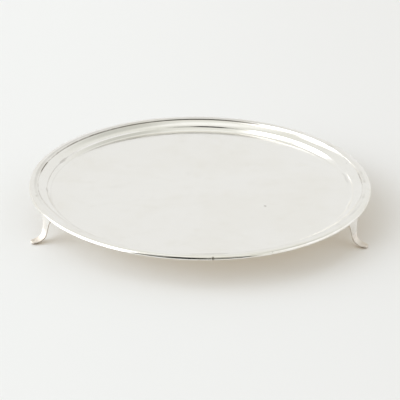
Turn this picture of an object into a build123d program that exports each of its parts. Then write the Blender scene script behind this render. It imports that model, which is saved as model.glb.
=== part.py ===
from build123d import *
import os

# A plain round silver salver: a shallow dish with a moulded border, standing on three cast feet.
# Millimetres. +Z is up. The origin is on the salver's axis, in the plane of the three soles.

os.makedirs("parts", exist_ok=True)

# Driving dimensions
salver_diameter = 305.0     # a 12 inch salver, measured over the moulding
overall_height = 27.0       # from the table to the crest of the moulding
sheet_thickness = 1.0       # the plate is one sheet of silver
foot_azimuths = {"foot_back": 90, "foot_left": 210, "foot_right": 330}

# Moulding: a drawn wire with a rebate, fitted over the edge of the plate
moulding_width = 8.0        # radial width
moulding_rise = 1.3         # from the plate's flange up to the crest
bevel_height = 0.9          # the steep inner edge
bevel_lean = 0.35
edge_height = 2.8           # full height of the outer edge
edge_upright = 0.6          # its upright lower part
shoulder_drop = 0.7         # from the crest down to the top of the outer edge
shoulder_inset = 0.75
edge_bulge = 0.12
shell_width = 1.3           # stands outside the plate's edge
bevel_round = 0.3
shoulder_round = 0.7
under_round = 0.5

# Border of the plate, from the moulding inwards
hollow_gap = 0.1            # flat left between the moulding and the hollow
hollow_width = 7.3          # concave band
hollow_drop = 3.9
hollow_sag = 0.42
step_height = 1.1           # steep step at the foot of the band
step_lean = 0.6
step_round = 0.35
slope_width = 3.0           # slope from the step down to the flat well
slope_drop = 2.2
slope_round = 3.0           # where the slope turns into the well

# Solder
film = 0.15                 # between a foot and the plate
bead_margin = 0.35          # how far the film shows round the foot's root
seam_width = 0.7            # run of solder between the plate's edge and the moulding
seam_height = 0.45

# Heights and radii worked out from them
rim_radius = salver_diameter / 2
plate_radius = rim_radius - shell_width
moulding_inner_radius = rim_radius - moulding_width
flange_z = overall_height - moulding_rise
flange_underside_z = flange_z - sheet_thickness
edge_underside_z = overall_height - edge_height
hollow_outer_radius = moulding_inner_radius - hollow_gap
hollow_inner_radius = hollow_outer_radius - hollow_width
step_top_z = flange_z - hollow_drop
step_foot_radius = hollow_inner_radius - step_lean
step_foot_z = step_top_z - step_height
slope_foot_radius = step_foot_radius - slope_width
well_z = step_foot_z - slope_drop

# Foot: a tapering strap that comes down from the flange and turns sharply into a dished toe.
# Each route point is (distance from the axis, height) on the line of the foot's outer face.
root_inset = 1.2            # from the plate's edge in to the outer face of the root
foot_root_radius = plate_radius - root_inset
foot_root_z = flange_underside_z - film
root_excess = 0.5           # cast longer and cut flat to fit the plate
foot_route = [
    (foot_root_radius, foot_root_z + root_excess),
    (foot_root_radius + 0.5, 19.5),
    (foot_root_radius + 1.2, 14.0),
    (foot_root_radius + 2.0, 9.4),
    (foot_root_radius + 3.4, 5.9),
    (foot_root_radius + 6.0, 3.8),
    (foot_root_radius + 10.0, 2.9),
    (foot_root_radius + 14.2, 2.9),
]
toe_direction = (1.0, 0.1)  # where the toe's tip points
# Sections along the route: place, half width, thickness, thickness at the edges, depth of the dish
foot_sections = [
    (0.00, 9.2, 4.6, 4.2, 0.15),
    (0.07, 8.7, 3.1, 2.7, 0.20),
    (0.15, 7.6, 2.2, 1.8, 0.25),
    (0.26, 6.2, 2.0, 1.5, 0.30),
    (0.40, 4.9, 2.0, 1.4, 0.35),
    (0.53, 4.2, 2.0, 1.4, 0.40),
    (0.64, 4.0, 2.2, 1.4, 0.50),
    (0.75, 4.1, 2.6, 1.4, 0.65),
    (0.85, 4.0, 3.1, 1.4, 0.70),
    (0.93, 3.4, 3.1, 1.3, 0.50),
    (0.98, 2.2, 2.4, 1.1, 0.25),
    (1.00, 1.0, 1.2, 0.7, 0.05),
]


# Plate: flat well, slope, step, hollow band and flange, all one sheet
with BuildPart() as salver_plate:
    with BuildSketch(Plane.XZ):
        with BuildLine():
            with BuildLine() as upper_face:
                well_and_slope = FilletPolyline(
                    (0, well_z),
                    (slope_foot_radius, well_z),
                    (step_foot_radius, step_foot_z),
                    radius=slope_round,
                )
                step = Line(well_and_slope @ 1, (hollow_inner_radius, step_top_z))
                hollow = SagittaArc(step @ 1, (hollow_outer_radius, flange_z), -hollow_sag)
                Line(hollow @ 1, (plate_radius, flange_z))
            offset(upper_face.wire(), amount=sheet_thickness, side=Side.RIGHT, kind=Kind.INTERSECTION)
        make_face()
    revolve(axis=Axis.Z)
    step_edge = salver_plate.edges().filter_by(GeomType.CIRCLE).filter_by_position(
        Axis.Z, step_top_z - 0.01, step_top_z + 0.01
    )
    fillet(step_edge, step_round)

# Moulding: the rim's drawn wire
with BuildPart() as rim_moulding:
    with BuildSketch(Plane.XZ) as moulding_section:
        with BuildLine():
            bevel = Line(
                (moulding_inner_radius, flange_z),
                (moulding_inner_radius + bevel_lean, flange_z + bevel_height),
            )
            crest = (rim_radius - moulding_width / 2, overall_height)
            shoulder = (rim_radius - shoulder_inset, overall_height - shoulder_drop)
            TangentArc(crest, bevel @ 1, tangent=(-1, 0))
            TangentArc(crest, shoulder, tangent=(1, 0))
            side = SagittaArc(shoulder, (rim_radius, edge_underside_z + edge_upright), edge_bulge)
            Polyline(
                side @ 1,
                (rim_radius, edge_underside_z),
                (plate_radius, edge_underside_z),
                (plate_radius, flange_z),
                bevel @ 0,
            )
        make_face()
        corners = moulding_section.vertices()
        fillet(corners.sort_by_distance(bevel @ 1)[0], bevel_round)
        fillet(corners.sort_by_distance(shoulder)[0], shoulder_round)
        fillet(corners.sort_by_distance((rim_radius, edge_underside_z))[0], under_round)
    revolve(axis=Axis.Z)

# Seam: the run of solder in the corner under the plate's edge
with BuildPart() as rim_solder:
    with BuildSketch(Plane.XZ):
        with BuildLine():
            Polyline(
                (plate_radius, flange_underside_z),
                (plate_radius - seam_width, flange_underside_z),
                (plate_radius, flange_underside_z - seam_height),
                close=True,
            )
        make_face()
    revolve(axis=Axis.Z)


def foot_section(plane, half_width, thickness, edge, dish):
    """One section of the strap on its plane: a hollowed outer face, round edges and a full back."""
    shoulder = half_width - edge / 2
    with BuildSketch(plane) as section:
        with BuildLine():
            face = ThreePointArc((-shoulder, 0), (0, -dish), (shoulder, 0))
            right = ThreePointArc(face @ 1, (half_width, -edge / 2), (shoulder, -edge))
            back = ThreePointArc(right @ 1, (0, -thickness), (-shoulder, -edge))
            ThreePointArc(back @ 1, (-half_width, -edge / 2), face @ 0)
        make_face()
    return section.sketch


# Foot: one casting, made here at azimuth 0 and set three times round the salver
with BuildLine(Plane.XZ) as route:
    Spline(foot_route, tangents=[(0, -1), toe_direction])
path = route.wires()[0]
with BuildPart() as foot_pattern:
    for place, *sizes in foot_sections:
        add(foot_section(Plane(origin=path @ place, x_dir=(0, 1, 0), z_dir=path % place), *sizes))
    loft()
    split(bisect_by=Plane.XY, keep=Keep.TOP)
    split(bisect_by=Plane.XY.offset(foot_root_z), keep=Keep.BOTTOM)

# Solder film on top of each foot's root, a little larger than the root all round
with BuildPart() as film_pattern:
    _, root_half_width, root_thickness, root_edge, root_dish = foot_sections[0]
    film_plane = Plane(
        origin=(foot_root_radius + bead_margin, 0, foot_root_z), x_dir=(0, 1, 0), z_dir=(0, 0, -1)
    )
    add(
        foot_section(
            film_plane,
            root_half_width + bead_margin,
            root_thickness + 2 * bead_margin,
            root_edge + 2 * bead_margin,
            root_dish,
        )
    )
    extrude(amount=film, dir=(0, 0, 1))


def write(piece, name):
    piece.part.label = name
    export_step(piece.part, f"parts/{name}.step")


write(salver_plate, "salver_plate")
write(rim_moulding, "rim_moulding")
write(rim_solder, "rim_solder")
for foot_name, azimuth in foot_azimuths.items():
    with BuildPart() as foot:
        add(foot_pattern.part, rotation=(0, 0, azimuth))
    write(foot, foot_name)
    with BuildPart() as solder:
        add(film_pattern.part, rotation=(0, 0, azimuth))
    write(solder, foot_name.replace("foot", "foot_solder"))
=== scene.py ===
import math

import bpy
import numpy as np
from mathutils import Matrix, Vector


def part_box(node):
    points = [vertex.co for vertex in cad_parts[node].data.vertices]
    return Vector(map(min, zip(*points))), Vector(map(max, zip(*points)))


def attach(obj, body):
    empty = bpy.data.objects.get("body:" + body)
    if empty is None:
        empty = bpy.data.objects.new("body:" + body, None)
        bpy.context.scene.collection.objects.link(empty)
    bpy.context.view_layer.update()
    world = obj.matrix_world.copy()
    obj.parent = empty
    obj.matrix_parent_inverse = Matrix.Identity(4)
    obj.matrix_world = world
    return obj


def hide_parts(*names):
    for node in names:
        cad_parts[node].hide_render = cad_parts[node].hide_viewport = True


# The looks of a polished silver salver: fine meshes for the spun plate and the drawn moulding,
# finishes for every piece, and a pale studio. Objects are in metres and sections in millimetres.

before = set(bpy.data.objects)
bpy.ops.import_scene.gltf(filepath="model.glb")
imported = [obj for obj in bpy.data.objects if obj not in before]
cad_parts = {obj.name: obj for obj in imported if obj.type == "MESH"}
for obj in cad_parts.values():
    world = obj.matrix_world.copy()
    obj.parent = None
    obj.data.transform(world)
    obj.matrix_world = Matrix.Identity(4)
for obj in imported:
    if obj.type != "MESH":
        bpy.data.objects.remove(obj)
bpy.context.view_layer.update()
scene = bpy.context.scene

MM = 0.001
TAU = 2 * math.pi

# ---------------------------------------------------------------- sizes, from the frame
rim_low, rim_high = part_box("rim_moulding")
_, plate_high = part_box("salver_plate")
seam_low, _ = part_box("rim_solder")
rim_radius = rim_high.x / MM
crest_z = rim_high.z / MM
edge_underside_z = rim_low.z / MM
plate_radius = plate_high.x / MM
flange_z = plate_high.z / MM
seam_foot_z = seam_low.z / MM

# Driving sizes of the sections, as the CAD model has them
sheet = 1.0
moulding_width = 8.0
bevel_height, bevel_lean = 0.9, 0.35
shoulder_drop, shoulder_inset = 0.7, 0.75
edge_upright, edge_bulge = 0.6, 0.12
hollow_gap, hollow_width, hollow_drop, hollow_sag = 0.1, 7.3, 3.9, 0.42
step_height, step_lean = 1.1, 0.60
slope_width, slope_drop, slope_round = 3.0, 2.2, 3.0
seam_width, seam_sag = 0.7, 0.07

# How the sections are divided: points this far apart, and closer on the thin seam
SPACING = 0.1
SEAM_SPACING = 0.05
# How far wear has rounded the corners
plate_wear, moulding_wear = 0.12, 0.14

moulding_inner = rim_radius - moulding_width
hollow_outer = moulding_inner - hollow_gap
hollow_inner = hollow_outer - hollow_width
step_top_z = flange_z - hollow_drop
step_foot_radius = hollow_inner - step_lean
step_foot_z = step_top_z - step_height
slope_foot_radius = step_foot_radius - slope_width
well_z = step_foot_z - slope_drop
slope_angle = math.atan2(slope_drop, slope_width)
setback = slope_round * math.tan(slope_angle / 2)
well_radius = slope_foot_radius - setback
slope_start = (
    slope_foot_radius + setback * math.cos(slope_angle),
    well_z + setback * math.sin(slope_angle),
)


# ---------------------------------------------------------------- sections
def line(start, end, step=SPACING):
    """Points from start to end, about a step apart, without the last one."""
    start, end = np.array(start, float), np.array(end, float)
    count = max(int(np.linalg.norm(end - start) / step), 1)
    return [start + (end - start) * i / count for i in range(count)]


def arc(start, end, sag, step=SPACING):
    """Points along a circular arc that stands sag to the left of its chord, without the last one."""
    start, end = np.array(start, float), np.array(end, float)
    chord = end - start
    length = np.linalg.norm(chord)
    radius = (length**2 / 4 + sag**2) / (2 * abs(sag))
    left = np.array([-chord[1], chord[0]]) / length
    centre = (start + end) / 2 + left * (sag - math.copysign(radius, sag))
    half = math.asin(min(1.0, length / 2 / radius))
    first = math.atan2(*(start - centre)[::-1])
    turn = -math.copysign(2 * half, sag)
    count = max(int(radius * 2 * half / step), 2)
    angles = [first + turn * i / count for i in range(count)]
    return [centre + radius * np.array([math.cos(a), math.sin(a)]) for a in angles]


def tangent_arc(start, end, tangent, step=SPACING):
    """The arc from start to end that leaves start along tangent."""
    chord = np.array(end, float) - np.array(start, float)
    turn = math.atan2(chord[1], chord[0]) - math.atan2(tangent[1], tangent[0])
    turn = (turn + math.pi) % TAU - math.pi
    sag = -math.tan(turn / 2) * np.linalg.norm(chord) / 2
    return arc(start, end, sag, step)


def soften(points, width, closed):
    """Rounds every corner of a section divided at SPACING, as wear and polishing do."""
    points = np.array(points)
    reach = int(math.ceil(3 * width / SPACING))
    weights = np.exp(-0.5 * (np.arange(-reach, reach + 1) * SPACING / width) ** 2)
    weights /= weights.sum()
    if closed:
        padded = np.concatenate([points[-reach:], points, points[:reach]])
    else:
        before = 2 * points[0] - points[1 : reach + 1][::-1]
        after = 2 * points[-1] - points[-reach - 1 : -1][::-1]
        padded = np.concatenate([before, points, after])
    return np.stack([np.convolve(padded[:, k], weights, "valid") for k in (0, 1)], 1)


def thin_out(points, tolerance=0.0015, longest=8.0):
    """Keeps the points that the section needs, to within the tolerance, and none further apart
    than longest."""
    same_place = 1e-9
    keep = {0, len(points) - 1}
    stack = [(0, len(points) - 1)]
    while stack:
        i, j = stack.pop()
        if j - i < 2:
            continue
        chord = points[j] - points[i]
        length = np.linalg.norm(chord)
        between = points[i + 1 : j] - points[i]
        if length < same_place:
            away = np.linalg.norm(between, axis=1)
        else:
            away = abs(chord[0] * between[:, 1] - chord[1] * between[:, 0]) / length
        far = int(away.argmax()) + i + 1
        if away.max() <= tolerance:
            if length <= longest:
                continue
            far = (i + j) // 2
        keep.add(far)
        stack += [(i, far), (far, j)]
    return points[sorted(keep)]


def lathe(name, section, closed, segments=720):
    """Turns a section of (radius, height) round the Z axis into a smooth mesh."""
    on_axis = MM * 1e-6
    angles = np.arange(segments) * TAU / segments
    circle = np.stack([np.cos(angles), np.sin(angles)], 1)
    vertices, rings = [], []
    for radius, height in section * MM:
        points = circle[:1] * 0.0 if radius < on_axis else circle * radius
        rings.append(np.arange(len(points)) + len(vertices))
        vertices += [(x, y, height) for x, y in points.tolist()]
    faces = []
    for inner, outer in zip(rings, rings[1:] + (rings[:1] if closed else [])):
        loops = [ring if len(ring) > 1 else np.repeat(ring, segments) for ring in (inner, outer)]
        quads = np.stack([loops[0], np.roll(loops[0], -1), np.roll(loops[1], -1), loops[1]], 1)
        faces += [list(dict.fromkeys(quad)) for quad in quads.tolist()]
    mesh = bpy.data.meshes.new(name)
    mesh.from_pydata(vertices, [], faces)
    mesh.polygons.foreach_set("use_smooth", [True] * len(mesh.polygons))
    mesh.update()
    made = bpy.data.objects.new(name, mesh)
    scene.collection.objects.link(made)
    return made


# Plate: the upper face, and the lower face one sheet's thickness below it
upper = (
    line((0, well_z), (well_radius, well_z))
    + tangent_arc((well_radius, well_z), slope_start, (1, 0))
    + line(slope_start, (step_foot_radius, step_foot_z))
    + line((step_foot_radius, step_foot_z), (hollow_inner, step_top_z))
    + arc((hollow_inner, step_top_z), (hollow_outer, flange_z), -hollow_sag)
    + line((hollow_outer, flange_z), (plate_radius, flange_z))
    + [np.array((plate_radius, flange_z))]
)
upper = np.array(upper)
run = np.gradient(upper, axis=0)
run /= np.linalg.norm(run, axis=1)[:, None]
lower = upper + sheet * np.stack([run[:, 1], -run[:, 0]], 1)
crossing = 0.004            # offset points nearer than the sheet less this have crossed at a corner
clear = [np.linalg.norm(upper - p, axis=1).min() > sheet - crossing for p in lower]
lower = lower[np.array(clear)]
lower = lower[lower[:, 0] < plate_radius]
lower_line = [p for a, b in zip(lower[:-1], lower[1:]) for p in line(a, b)] + [lower[-1]]
plate_section = np.concatenate(
    [
        upper,
        np.array(line((plate_radius, flange_z - SPACING), (plate_radius, flange_z - sheet))),
        np.array(lower_line)[::-1],
    ]
)
plate_section = soften(plate_section, plate_wear, closed=False)
plate_section[0, 0] = plate_section[-1, 0] = 0.0
plate = lathe("plate_surface", thin_out(plate_section), closed=False)

# Moulding: the drawn wire's section
bevel_foot = (moulding_inner, flange_z)
bevel_top = (moulding_inner + bevel_lean, flange_z + bevel_height)
crest = (rim_radius - moulding_width / 2, crest_z)
shoulder = (rim_radius - shoulder_inset, crest_z - shoulder_drop)
upright_top = (rim_radius, edge_underside_z + edge_upright)
inner_crown = tangent_arc(crest, bevel_top, (-1, 0))
moulding_section = (
    line(bevel_foot, bevel_top)
    + [np.array(bevel_top)]
    + inner_crown[:0:-1]
    + tangent_arc(crest, shoulder, (1, 0))
    + arc(shoulder, upright_top, edge_bulge)
    + line(upright_top, (rim_radius, edge_underside_z))
    + line((rim_radius, edge_underside_z), (plate_radius, edge_underside_z))
    + line((plate_radius, edge_underside_z), (plate_radius, flange_z))
    + line((plate_radius, flange_z), bevel_foot)
)
moulding_section = soften(moulding_section, moulding_wear, closed=True)
moulding = lathe("moulding_surface", thin_out(moulding_section), closed=True)

# Seam: a hollow-faced run of solder in the corner under the plate's edge
seam_corner = (plate_radius, flange_z - sheet)
seam_inner = (plate_radius - seam_width, flange_z - sheet)
seam_foot = (plate_radius, seam_foot_z)
seam_section = (
    line(seam_corner, seam_inner, SEAM_SPACING)
    + arc(seam_inner, seam_foot, -seam_sag, SEAM_SPACING)
    + line(seam_foot, seam_corner, SEAM_SPACING)
)
seam = lathe("seam_surface", np.array(seam_section), closed=True)

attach(plate, "root")
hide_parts("salver_plate")
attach(moulding, "root")
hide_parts("rim_moulding")
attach(seam, "root")
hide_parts("rim_solder")


# ---------------------------------------------------------------- finishes
# Scratches: noise at these scales per metre along, across and through them, and how soft their edge is
SCRATCH_SCALE = (60.0, 3600.0, 900.0)
SCRATCH_EDGE = 0.06
SCRATCH_TURNS = (58.0, 101.0, 149.0)    # directions of the lighter sets, in degrees

# Linear colours of the metal
CLEAN = (0.968, 0.958, 0.934, 1.0)
FILMED = (0.83, 0.79, 0.68, 1.0)
# On a casting's toe this film also carries a painted reflection of the shadowed floor.
CAST_FILM_AND_TOE_REFLECTION = (0.88, 0.82, 0.755, 1.0)
# Grime's colour, also used for the painted shade in hollows and the groove's painted dark reflection.
DIRT_AND_SHADE = (0.16, 0.13, 0.095, 1.0)
FRESH_SCRATCH = (0.99, 0.985, 0.97, 1.0)

# The most that tarnish with the toe's painted reflection, grime with painted shade, and scratches change the
# colour
MOST_TARNISH_AND_REFLECTION, MOST_GRIME_AND_SHADE, MOST_SCRATCH = 0.9, 0.92, 0.12

# Tarnish on the underside, on the moulding's outer edge and on a casting's skin, and on its toe tarnish with
# a painted reflection of the shadowed floor
UNDERSIDE_TARNISH, EDGE_TARNISH, SKIN_TARNISH, TOE_TARNISH_AND_REFLECTION = 0.35, 0.30, 0.5, 0.85
EDGE_FADE = 1.2                         # millimetres over which the outer edge dulls
TOE_TOP, TOE_FULL = 13.0, 6.0           # heights in millimetres where the toe's tarnish and painted reflection start and are full
HOLLOW_SHADE_REACH = 2.5                      # millimetres over which occlusion darkens hollows: grime the cloth can't reach, and painted shade
STAIN_GRIME = 0.35

# What each adds to the roughness
SCRATCH_ROUGHNESS, GRIME_AND_SHADE_ROUGHNESS = 0.06, 0.35
TARNISH_ROUGHNESS, CASTING_ROUGHNESS = 0.16, 0.40

# Depths of the relief in millimetres
BEATEN, RIPPLE, GRAIN_DEPTH, SCRATCH_DEPTH, GRIME_AND_SHADE_DEPTH = 0.020, 0.0025, 0.00012, -0.00025, 0.0010


class Finish:
    """A small helper that adds nodes to a material's or a world's tree."""

    def __init__(self, tree):
        self.tree = tree
        self.tree.nodes.clear()

    def add(self, kind, inputs=None, **settings):
        node = self.tree.nodes.new(kind)
        for key, value in settings.items():
            setattr(node, key, value)
        for key, value in (inputs or {}).items():
            self.put(value, node.inputs[key])
        return node

    def put(self, value, socket):
        if isinstance(value, bpy.types.NodeSocket):
            self.tree.links.new(value, socket)
        else:
            socket.default_value = value

    def math(self, operation, a, b=0.0, clamp=False):
        node = self.add("ShaderNodeMath", {0: a, 1: b}, operation=operation, use_clamp=clamp)
        return node.outputs[0]

    def plus(self, a, b, clamp=False):
        return self.math("ADD", a, b, clamp)

    def times(self, a, b):
        return self.math("MULTIPLY", a, b)

    def angle_from(self, angle, centre):
        """How far an angle is from a centre, within half a turn either way."""
        limits = {0: angle, 1: centre + math.pi, 2: centre - math.pi}
        wrapped = self.add("ShaderNodeMath", limits, operation="WRAP")
        return self.math("SUBTRACT", wrapped.outputs[0], centre)

    def span(self, value, low, high, to_low=0.0, to_high=1.0):
        """Moves smoothly from to_low to to_high as value goes from low to high."""
        inputs = {"Value": value, "From Min": low, "From Max": high, "To Min": to_low, "To Max": to_high}
        node = self.add("ShaderNodeMapRange", inputs, interpolation_type="SMOOTHSTEP", clamp=True)
        return node.outputs[0]

    def mix(self, factor, a, b):
        node = self.add("ShaderNodeMix", data_type="RGBA")
        self.put(factor, node.inputs[0])
        self.put(a, node.inputs[6])
        self.put(b, node.inputs[7])
        return node.outputs[2]

    def noise(self, vector, scale, detail=3.0, roughness=0.5):
        """Noise with about scale features in a metre."""
        inputs = {"Vector": vector, "Scale": scale, "Detail": detail, "Roughness": roughness}
        return self.add("ShaderNodeTexNoise", inputs, noise_dimensions="3D").outputs["Fac"]

    def hairlines(self, vector, turn, keep):
        """Fine polishing scratches: noise drawn out along one direction, cut down to thin lines."""
        rotation = (0.0, 0.0, math.radians(turn))
        inputs = {"Vector": vector, "Rotation": rotation, "Scale": SCRATCH_SCALE}
        turned = self.add("ShaderNodeMapping", inputs)
        strands = self.noise(turned.outputs[0], scale=1.0, detail=2.0)
        return self.span(strands, keep, keep + SCRATCH_EDGE)


def ring_of_dirt_and_reflection(f, radius, bearing, cloud, smear, ring, half, deepest, darkest_bearing, spread):
    """Dirt along a line round the dish: darkest near one bearing, and in patches elsewhere.
    At the groove the darkening near that bearing is a painted dark reflection of the room behind the camera.
    """
    away = f.math("ABSOLUTE", f.math("SUBTRACT", radius, ring * MM))
    in_the_line = f.span(away, half * MM, half * 0.25 * MM, 0.0, deepest)
    apart = f.math("ABSOLUTE", f.angle_from(bearing, darkest_bearing))
    near_the_darkest = f.span(apart, spread, spread * 0.5, 0.12, 1.0)
    uneven = f.times(near_the_darkest, f.span(smear, 0.3, 0.55, 0.6, 1.0))
    patches = f.span(cloud, 0.52, 0.66, 0.0, 0.9)
    return f.times(in_the_line, f.math("MAXIMUM", uneven, patches))


def mark(f, radius, bearing, smear, ring, degrees, half_width, half_length, darkness):
    """One stain or nick, with a ragged outline."""
    ragged = f.times(f.math("SUBTRACT", smear, 0.5), 1.5)
    round_the_dish = f.times(f.angle_from(bearing, math.radians(degrees)), ring / half_length)
    outwards = f.times(f.math("SUBTRACT", radius, ring * MM), 1 / (half_width * MM))
    outwards = f.plus(outwards, ragged)
    size = f.plus(f.math("POWER", round_the_dish, 2.0), f.math("POWER", outwards, 2.0))
    return f.span(size, 1.0, 0.1, 0.0, darkness)


def silver(name, polish, film, rings=(), marks=(), hollow_grime_and_shade=0.0, edge_radius=None, cast=False):
    """Old polished silver.

    polish is the roughness and film is how much tarnish the cloths leave. rings are the lines where
    dirt gathers: radius, half width, how dark, and the bearing and spread where they are darkest; at
    the groove that darkest part is a painted dark reflection. marks are single stains and nicks:
    radius, bearing in degrees, half width, half length round the dish, and how dark.
    hollow_grime_and_shade darkens hollows and joins by occlusion, as grime the cloth can't reach and
    as painted shade. edge_radius is where the outer edge begins to dull, and cast leaves the sides
    and the back of a foot as they came from the mould and darkens its toe from the ankle down, as
    tarnish and a painted reflection of the shadowed floor.
    Lengths are in millimetres.
    """
    material = bpy.data.materials.new(name)
    material.use_nodes = True
    f = Finish(material.node_tree)
    coordinates = f.add("ShaderNodeTexCoord")
    place = coordinates.outputs["Object"]
    across, along, height = f.add("ShaderNodeSeparateXYZ", {0: place}).outputs
    radius = f.math("SQRT", f.plus(f.times(across, across), f.times(along, along)))
    bearing = f.math("ARCTAN2", along, across)
    face_x, face_y, facing = f.add("ShaderNodeSeparateXYZ", {0: coordinates.outputs["Normal"]}).outputs
    underside = f.span(facing, -0.05, -0.4)

    cloud = f.noise(place, scale=16.0, detail=4.0, roughness=0.55)
    smear = f.noise(place, scale=75.0, detail=5.0, roughness=0.6)
    grain = f.noise(place, scale=900.0, detail=3.0, roughness=0.6)
    stain = f.span(f.noise(place, scale=230.0, detail=2.0, roughness=0.45), 0.755, 0.80)
    scratches = f.hairlines(place, turn=12.0, keep=0.66)
    for turn in SCRATCH_TURNS:
        scratches = f.math("MAXIMUM", scratches, f.hairlines(place, turn, keep=0.68))

    # Tarnish: a thin uneven film, thicker below, on the outer edge and on a casting, and on a casting's toe
    # a painted reflection of the shadowed floor as well
    tarnish_and_reflection = f.times(f.span(cloud, 0.38, 0.72), film)
    tarnish_and_reflection = f.plus(tarnish_and_reflection, f.times(f.span(smear, 0.50, 0.75), film * 0.6))
    tarnish_and_reflection = f.plus(tarnish_and_reflection, f.times(underside, UNDERSIDE_TARNISH))
    if edge_radius:
        outer = f.span(radius, edge_radius * MM, (edge_radius + EDGE_FADE) * MM)
        tarnish_and_reflection = f.plus(tarnish_and_reflection, f.times(outer, f.span(smear, 0.35, 0.65, 0.0, EDGE_TARNISH)))

    # Grime and painted shade: stains, the lines and marks, a casting's skin, and the hollows, where
    # occlusion paints shade along with the grime
    grime_and_shade = f.times(stain, STAIN_GRIME)
    for ring in rings:
        grime_and_shade = f.plus(grime_and_shade, ring_of_dirt_and_reflection(f, radius, bearing, cloud, smear, *ring))
    for spot in marks:
        grime_and_shade = f.plus(grime_and_shade, mark(f, radius, bearing, smear, *spot))
    if cast:
        outward = f.plus(f.times(face_x, across), f.times(face_y, along))
        outward = f.math("DIVIDE", outward, radius)
        skin = f.span(f.math("MAXIMUM", outward, facing), 0.62, 0.30)
        # Painted reflection: the toe darkens and warms from the ankle down, standing in for the shadowed
        # floor it reflects, on top of its tarnish.
        toe_tarnish_and_reflection = f.span(height, TOE_TOP * MM, TOE_FULL * MM, 0.0, TOE_TARNISH_AND_REFLECTION)
        tarnish_and_reflection = f.plus(tarnish_and_reflection, f.math("MAXIMUM", f.times(skin, SKIN_TARNISH), toe_tarnish_and_reflection))
        grime_and_shade = f.plus(grime_and_shade, f.times(skin, f.span(smear, 0.3, 0.6, 0.10, 0.30)))
    # Painted shade: occlusion darkens hollows, creases and the joins between parts, along with the grime the
    # cloth can't reach.
    if hollow_grime_and_shade:
        reach = f.add("ShaderNodeAmbientOcclusion", {"Distance": HOLLOW_SHADE_REACH * MM}, samples=16)
        grime_and_shade = f.plus(grime_and_shade, f.span(reach.outputs["AO"], 0.75, 0.25, 0.0, hollow_grime_and_shade))

    colour = f.mix(f.math("MINIMUM", tarnish_and_reflection, MOST_TARNISH_AND_REFLECTION), CLEAN, CAST_FILM_AND_TOE_REFLECTION if cast else FILMED)
    colour = f.mix(f.math("MINIMUM", grime_and_shade, MOST_GRIME_AND_SHADE), colour, DIRT_AND_SHADE)
    colour = f.mix(f.times(scratches, MOST_SCRATCH), colour, FRESH_SCRATCH)

    roughness = f.span(smear, 0.3, 0.7, polish * 0.75, polish * 1.3)
    roughness = f.plus(roughness, f.times(grain, polish * 0.15))
    roughness = f.plus(roughness, f.times(scratches, SCRATCH_ROUGHNESS))
    roughness = f.plus(roughness, f.times(tarnish_and_reflection, CASTING_ROUGHNESS if cast else TARNISH_ROUGHNESS))
    roughness = f.plus(roughness, f.times(grime_and_shade, GRIME_AND_SHADE_ROUGHNESS), clamp=True)

    relief = (
        (f.noise(place, scale=24.0, detail=1.0), BEATEN),
        (f.noise(place, scale=85.0, detail=2.0), RIPPLE),
        (grain, GRAIN_DEPTH),
        (scratches, SCRATCH_DEPTH),
        (grime_and_shade, GRIME_AND_SHADE_DEPTH),
    )
    normal = None
    for shape, depth in relief:
        inputs = {"Height": shape, "Strength": 1.0, "Distance": abs(depth) * MM}
        if normal:
            inputs["Normal"] = normal
        normal = f.add("ShaderNodeBump", inputs, invert=depth < 0).outputs[0]
    shader = f.add(
        "ShaderNodeBsdfPrincipled",
        {"Base Color": colour, "Metallic": 1.0, "Roughness": roughness, "Normal": normal},
    )
    f.put(shader.outputs[0], f.add("ShaderNodeOutputMaterial").inputs[0])
    return material


# Rings: radius, half width, how dark, bearing where darkest, spread
# The groove holds real dirt, and its darkest part, at the back, is a painted dark reflection of the room
# behind the camera.
groove_dirt_and_reflection = (moulding_inner, 0.6, 0.8, math.radians(110), math.radians(60))
step_line = (hollow_inner - step_lean / 2, 0.5, 0.18, math.radians(150), math.radians(40))
slope_line = (slope_foot_radius, 0.7, 0.05, math.radians(180), math.radians(60))
inner_crown_film = (moulding_inner + 2.2, 1.9, 0.24, math.radians(125), math.radians(85))

# Marks: radius, bearing in degrees, half width, half length, how dark
plate_marks = (
    (69.5, -35.3, 1.5, 1.1, 0.75),
    (136.8, -172.5, 1.2, 6.5, 0.22),
    (137.0, 160.0, 1.3, 9.0, 0.20),
    (134.5, 8.0, 1.2, 16.0, 0.10),
)
rim_marks = ((151.9, -85.9, 1.2, 1.1, 0.85), (148.0, -163.0, 1.0, 3.0, 0.10))

edge_inset = 1.6            # from the outermost edge in to where it begins to dull

plate_silver = silver(
    "plate_silver", polish=0.11, film=0.15, rings=(groove_dirt_and_reflection, step_line, slope_line), marks=plate_marks
)
moulding_silver = silver(
    "moulding_silver",
    polish=0.09,
    film=0.30,
    rings=(groove_dirt_and_reflection, inner_crown_film),
    marks=rim_marks,
    edge_radius=rim_radius - edge_inset,
)
foot_silver = silver("foot_silver", polish=0.13, film=0.45, hollow_grime_and_shade=0.8, cast=True)
solder = silver("solder", polish=0.34, film=0.95, hollow_grime_and_shade=0.5)


def paint(piece, material):
    if not piece.material_slots:
        piece.data.materials.append(material)
    for each in piece.material_slots:
        each.material = material


paint(plate, plate_silver)
paint(moulding, moulding_silver)
paint(seam, solder)
for name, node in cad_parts.items():
    if name.startswith("foot_solder"):
        paint(node, solder)
    elif name.startswith("foot"):
        paint(node, foot_silver)

# ---------------------------------------------------------------- studio
floor_half = 12.0
lit_side, shaded_side = -0.3, 0.4      # in metres, where the paper's painted shade, darker away from the window on the left, begins and ends
# Painted shade: the paper is lighter towards the window on the left and darker to the right.
lit_paper = (0.585, 0.645, 0.710, 1.0)
shaded_paper = (0.530, 0.580, 0.640, 1.0)
# Painted light: the paper glows faintly warm, standing in for warm light bounced into the shadow under the
# salver.
painted_bounce_glow, bounce_glow_strength = (1.0, 0.80, 0.56, 1.0), 0.26

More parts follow.
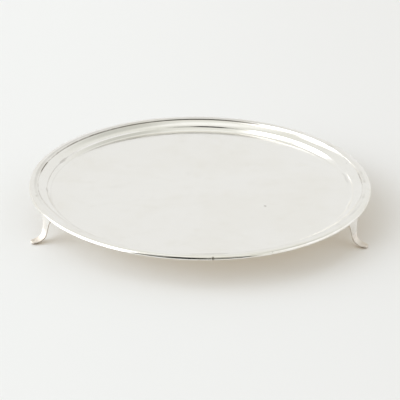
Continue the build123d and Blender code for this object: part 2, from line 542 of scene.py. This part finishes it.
floor_mesh = bpy.data.meshes.new("studio_floor")
floor_corners = [(-1, -1), (1, -1), (1, 1), (-1, 1)]
floor_mesh.from_pydata([(x * floor_half, y * floor_half, 0.0) for x, y in floor_corners], [], [(0, 1, 2, 3)])
floor = bpy.data.objects.new("studio_floor", floor_mesh)
scene.collection.objects.link(floor)
paper = bpy.data.materials.new("studio_paper")
paper.use_nodes = True
f = Finish(paper.node_tree)
place = f.add("ShaderNodeTexCoord").outputs["Object"]
fibres = f.noise(place, scale=1400.0, detail=3.0, roughness=0.6)
# Painted shade across the paper, away from the window
shade = f.span(f.add("ShaderNodeSeparateXYZ", {0: place}).outputs[0], lit_side, shaded_side)
paper_colour = f.mix(shade, lit_paper, shaded_paper)
paper_relief = f.add("ShaderNodeBump", {"Height": fibres, "Strength": 0.3, "Distance": 0.05 * MM})
shader = f.add(
    "ShaderNodeBsdfPrincipled",
    {
        "Base Color": paper_colour,
        "Roughness": f.span(fibres, 0.3, 0.7, 0.85, 0.95),
        "Normal": paper_relief.outputs[0],
        # The paper's painted glow of bounced light
        "Emission Color": painted_bounce_glow,
        "Emission Strength": bounce_glow_strength,
    },
)
f.put(shader.outputs[0], f.add("ShaderNodeOutputMaterial").inputs[0])
floor_mesh.materials.append(paper)

# The room round the table. Each area, painted over the ones before it, has in degrees its centre and
# half width in azimuth (0 is behind the camera, 90 is to its right), its centre and half height in
# elevation and the softness of its edge, and then its colour and its brightness.
room = {
    "sweep": (180, 80, 15, 30, 22, (1.0, 1.0, 0.98), 0.845),
    "ceiling": (180, 60, 74, 10, 6, (1.0, 1.0, 0.96), 1.0),
    "corner": (118, 32, 62, 16, 12, (1.0, 1.0, 0.92), 0.60),
    "fill": (84, 30, 22, 22, 14, (1.0, 1.0, 1.0), 1.05),
    "window": (-79, 33, 20, 21, 6, (1.0, 1.0, 1.0), 4.2),
    "window_side": (-115, 19, 43, 10, 4, (1.0, 1.0, 1.0), 2.2),
    "window_high": (-90, 22, 58, 14, 6, (1.0, 1.0, 1.0), 2.0),
    "dark_room": (-4, 38, 8, 20, 4, (1.0, 0.93, 0.80), 0.03),
    "upper_wall": (-4, 34, 50, 10, 4, (1.0, 0.93, 0.80), 0.10),
    "dark_wall": (-8, 13, 22, 40, 5, (1.0, 0.93, 0.80), 0.02),
}
world = bpy.data.worlds.new("studio")
scene.world = world
world.use_nodes = True
f = Finish(world.node_tree)
direction = f.add("ShaderNodeTexCoord").outputs["Generated"]
to_right, to_back, upwards = f.add("ShaderNodeSeparateXYZ", {0: direction}).outputs
azimuth = f.math("ARCTAN2", to_right, f.times(to_back, -1.0))
elevation = f.math("ARCSINE", upwards)
sky = (0.80, 0.80, 0.74, 1.0)       # wherever there is no area
for *angles, colour, level in room.values():
    centre, half, middle, rise, soft = [math.radians(angle) for angle in angles]
    around = f.math("ABSOLUTE", f.angle_from(azimuth, centre))
    above_or_below = f.math("ABSOLUTE", f.math("SUBTRACT", elevation, middle))
    wide = f.span(around, half + soft, half - soft)
    tall = f.span(above_or_below, rise + soft, rise - soft)
    sky = f.mix(f.times(wide, tall), sky, (*[c * level for c in colour], 1.0))
background = f.add("ShaderNodeBackground", {"Color": sky, "Strength": 1.0})
f.put(background.outputs[0], f.add("ShaderNodeOutputWorld").inputs[0])
world.cycles.sampling_method = "MANUAL"
world.cycles.sample_map_resolution = 1024

scene.view_settings.view_transform = "Standard"
scene.view_settings.look = "None"
scene.cycles.use_denoising = True
scene.cycles.max_bounces = 32
scene.cycles.glossy_bounces = 16
scene.cycles.diffuse_bounces = 10

# ---------------------------------------------------------------- camera
# It stands in front, looks at a point on the salver's axis, and is then turned a little and rolled.
lens, sensor = 108.0, 36.0          # millimetres
camera_elevation = math.radians(24.67)
camera_distance = 1.0815            # metres
aim = Vector((0.0, 0.0, 0.01756))
turn_left = math.radians(-0.0038)
turn_down = math.radians(0.6254)
roll = math.radians(0.70)
ahead = Vector((0, math.cos(camera_elevation), -math.sin(camera_elevation)))
right = Vector((1, 0, 0))
above = right.cross(ahead)
stand = aim - ahead * camera_distance
yaw = Matrix.Rotation(turn_left, 3, above)
ahead, right = yaw @ ahead, yaw @ right
pitch = Matrix.Rotation(-turn_down, 3, right)
ahead, above = pitch @ ahead, pitch @ above
right, above = (
    right * math.cos(roll) + above * math.sin(roll),
    above * math.cos(roll) - right * math.sin(roll),
)
camera_data = bpy.data.cameras.new("camera")
camera_data.lens = lens
camera_data.sensor_width = sensor
camera = bpy.data.objects.new("camera", camera_data)
scene.collection.objects.link(camera)
turned = Matrix((right, above, -ahead)).transposed()
camera.matrix_world = Matrix.Translation(stand) @ turned.to_4x4()
scene.camera = camera
